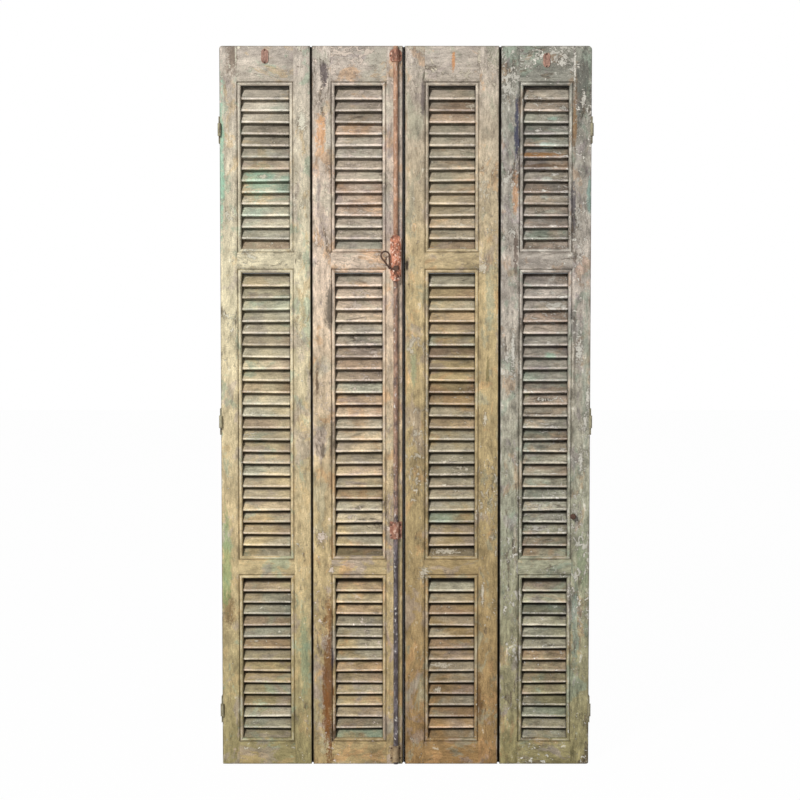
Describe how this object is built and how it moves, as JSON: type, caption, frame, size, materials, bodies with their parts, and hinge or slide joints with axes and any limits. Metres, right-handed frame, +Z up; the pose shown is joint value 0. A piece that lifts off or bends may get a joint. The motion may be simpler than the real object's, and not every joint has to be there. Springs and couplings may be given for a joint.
{
  "type": "louvred shutters",
  "caption": "Tall weathered louvred shutter leaves hung as two folding pairs, with a sliding bolt, rods and a drop-shaped handle on one meeting stile.",
  "frame": {"origin": "middle of the set's box, on the line of the leaves' feet", "axes": "+X to the viewer's right, +Y away from the viewer, +Z up"},
  "size_m": [1.1302, 0.0789, 2.18],
  "materials": {
    "outer_left_frame_paint": "old chipped paint on wood",
    "outer_left_slat_paint": "old chipped paint on wood",
    "inner_left_frame_paint": "old chipped paint on wood",
    "inner_left_slat_paint": "old chipped paint on wood",
    "inner_right_frame_paint": "old chipped paint on wood",
    "inner_right_slat_paint": "old chipped paint on wood",
    "outer_right_frame_paint": "old chipped paint on wood",
    "outer_right_slat_paint": "old chipped paint on wood",
    "peg_wood": "bare weathered wood",
    "dark_iron": "dark oxidised iron",
    "rusty_iron": "red-brown rust",
    "painted_iron": "old paint over iron"
  },
  "bodies": {
    "jambs": {"left_jamb_hinge_halves": "dark_iron", "right_jamb_hinge_halves": "dark_iron"},
    "outer_left": {"outer_left_left_stile": "outer_left_frame_paint", "outer_left_right_stile": "outer_left_frame_paint", "outer_left_top_rail": "outer_left_frame_paint", "outer_left_upper_mid_rail": "outer_left_frame_paint", "outer_left_lower_mid_rail": "outer_left_frame_paint", "outer_left_bottom_rail": "outer_left_frame_paint", "outer_left_slats": "outer_left_slat_paint", "outer_left_pegs": "peg_wood", "outer_left_hinge_halves": "rusty_iron", "outer_left_fold_flaps": "rusty_iron", "left_fold_pins": "dark_iron", "outer_left_eye_plate": "rusty_iron"},
    "inner_left": {"inner_left_left_stile": "inner_left_frame_paint", "inner_left_right_stile": "inner_left_frame_paint", "inner_left_top_rail": "inner_left_frame_paint", "inner_left_upper_mid_rail": "inner_left_frame_paint", "inner_left_lower_mid_rail": "inner_left_frame_paint", "inner_left_bottom_rail": "inner_left_frame_paint", "inner_left_slats": "inner_left_slat_paint", "inner_left_pegs": "peg_wood", "inner_left_fold_flaps": "rusty_iron", "bolt_case": "rusty_iron", "top_rod_guide": "rusty_iron", "lower_rod_guide": "rusty_iron", "bottom_rod_guide": "painted_iron"},
    "inner_right": {"inner_right_left_stile": "inner_right_frame_paint", "inner_right_right_stile": "inner_right_frame_paint", "inner_right_top_rail": "inner_right_frame_paint", "inner_right_upper_mid_rail": "inner_right_frame_paint", "inner_right_lower_mid_rail": "inner_right_frame_paint", "inner_right_bottom_rail": "inner_right_frame_paint", "inner_right_slats": "inner_right_slat_paint", "inner_right_pegs": "peg_wood", "inner_right_fold_flaps": "rusty_iron"},
    "outer_right": {"outer_right_left_stile": "outer_right_frame_paint", "outer_right_right_stile": "outer_right_frame_paint", "outer_right_top_rail": "outer_right_frame_paint", "outer_right_upper_mid_rail": "outer_right_frame_paint", "outer_right_lower_mid_rail": "outer_right_frame_paint", "outer_right_bottom_rail": "outer_right_frame_paint", "outer_right_slats": "outer_right_slat_paint", "outer_right_pegs": "peg_wood", "outer_right_hinge_halves": "rusty_iron", "outer_right_fold_flaps": "rusty_iron", "right_fold_pins": "dark_iron", "outer_right_eye_plate": "rusty_iron", "outer_right_knob": "dark_iron"},
    "handle": {"bolt_handle": "dark_iron", "bolt_pinion": "dark_iron"},
    "upper_bolt": {"upper_rod": "rusty_iron"},
    "lower_bolt": {"lower_rod": "dark_iron"}
  },
  "joints": [
    {"name": "left_swing", "type": "hinge", "parent": "jambs", "child": "outer_left", "pos_m": [-0.5601, -0.01555, 1.05], "axis": [0, 0, -1], "range_deg": [0, 178]},
    {"name": "left_fold", "type": "hinge", "parent": "outer_left", "child": "inner_left", "pos_m": [-0.2769, 0.03495, 1.05], "axis": [0, 0, 1], "range_deg": [0, 178]},
    {"name": "right_swing", "type": "hinge", "parent": "jambs", "child": "outer_right", "pos_m": [0.5601, -0.01555, 1.05], "axis": [0, 0, 1], "range_deg": [0, 178]},
    {"name": "right_fold", "type": "hinge", "parent": "outer_right", "child": "inner_right", "pos_m": [0.2759, 0.03495, 1.05], "axis": [0, 0, -1], "range_deg": [0, 178]},
    {"name": "handle_turn", "type": "hinge", "parent": "inner_left", "child": "handle", "pos_m": [-0.03, -0.01005, 1.5135], "axis": [0, -1, 0], "range_deg": [0, 90]},
    {"name": "upper_rod_slide", "type": "slide", "parent": "inner_left", "child": "upper_bolt", "axis": [0, 0, 1], "range_m": [0, 0.01037]},
    {"name": "lower_rod_slide", "type": "slide", "parent": "inner_left", "child": "lower_bolt", "axis": [0, 0, -1], "range_m": [0, 0.0104]}
  ],
  "couplings": [
    {"joint": "handle_turn", "follows": "upper_rod_slide", "rad_per_m": 151.51},
    {"joint": "lower_rod_slide", "follows": "upper_rod_slide", "ratio": 1}
  ]
}
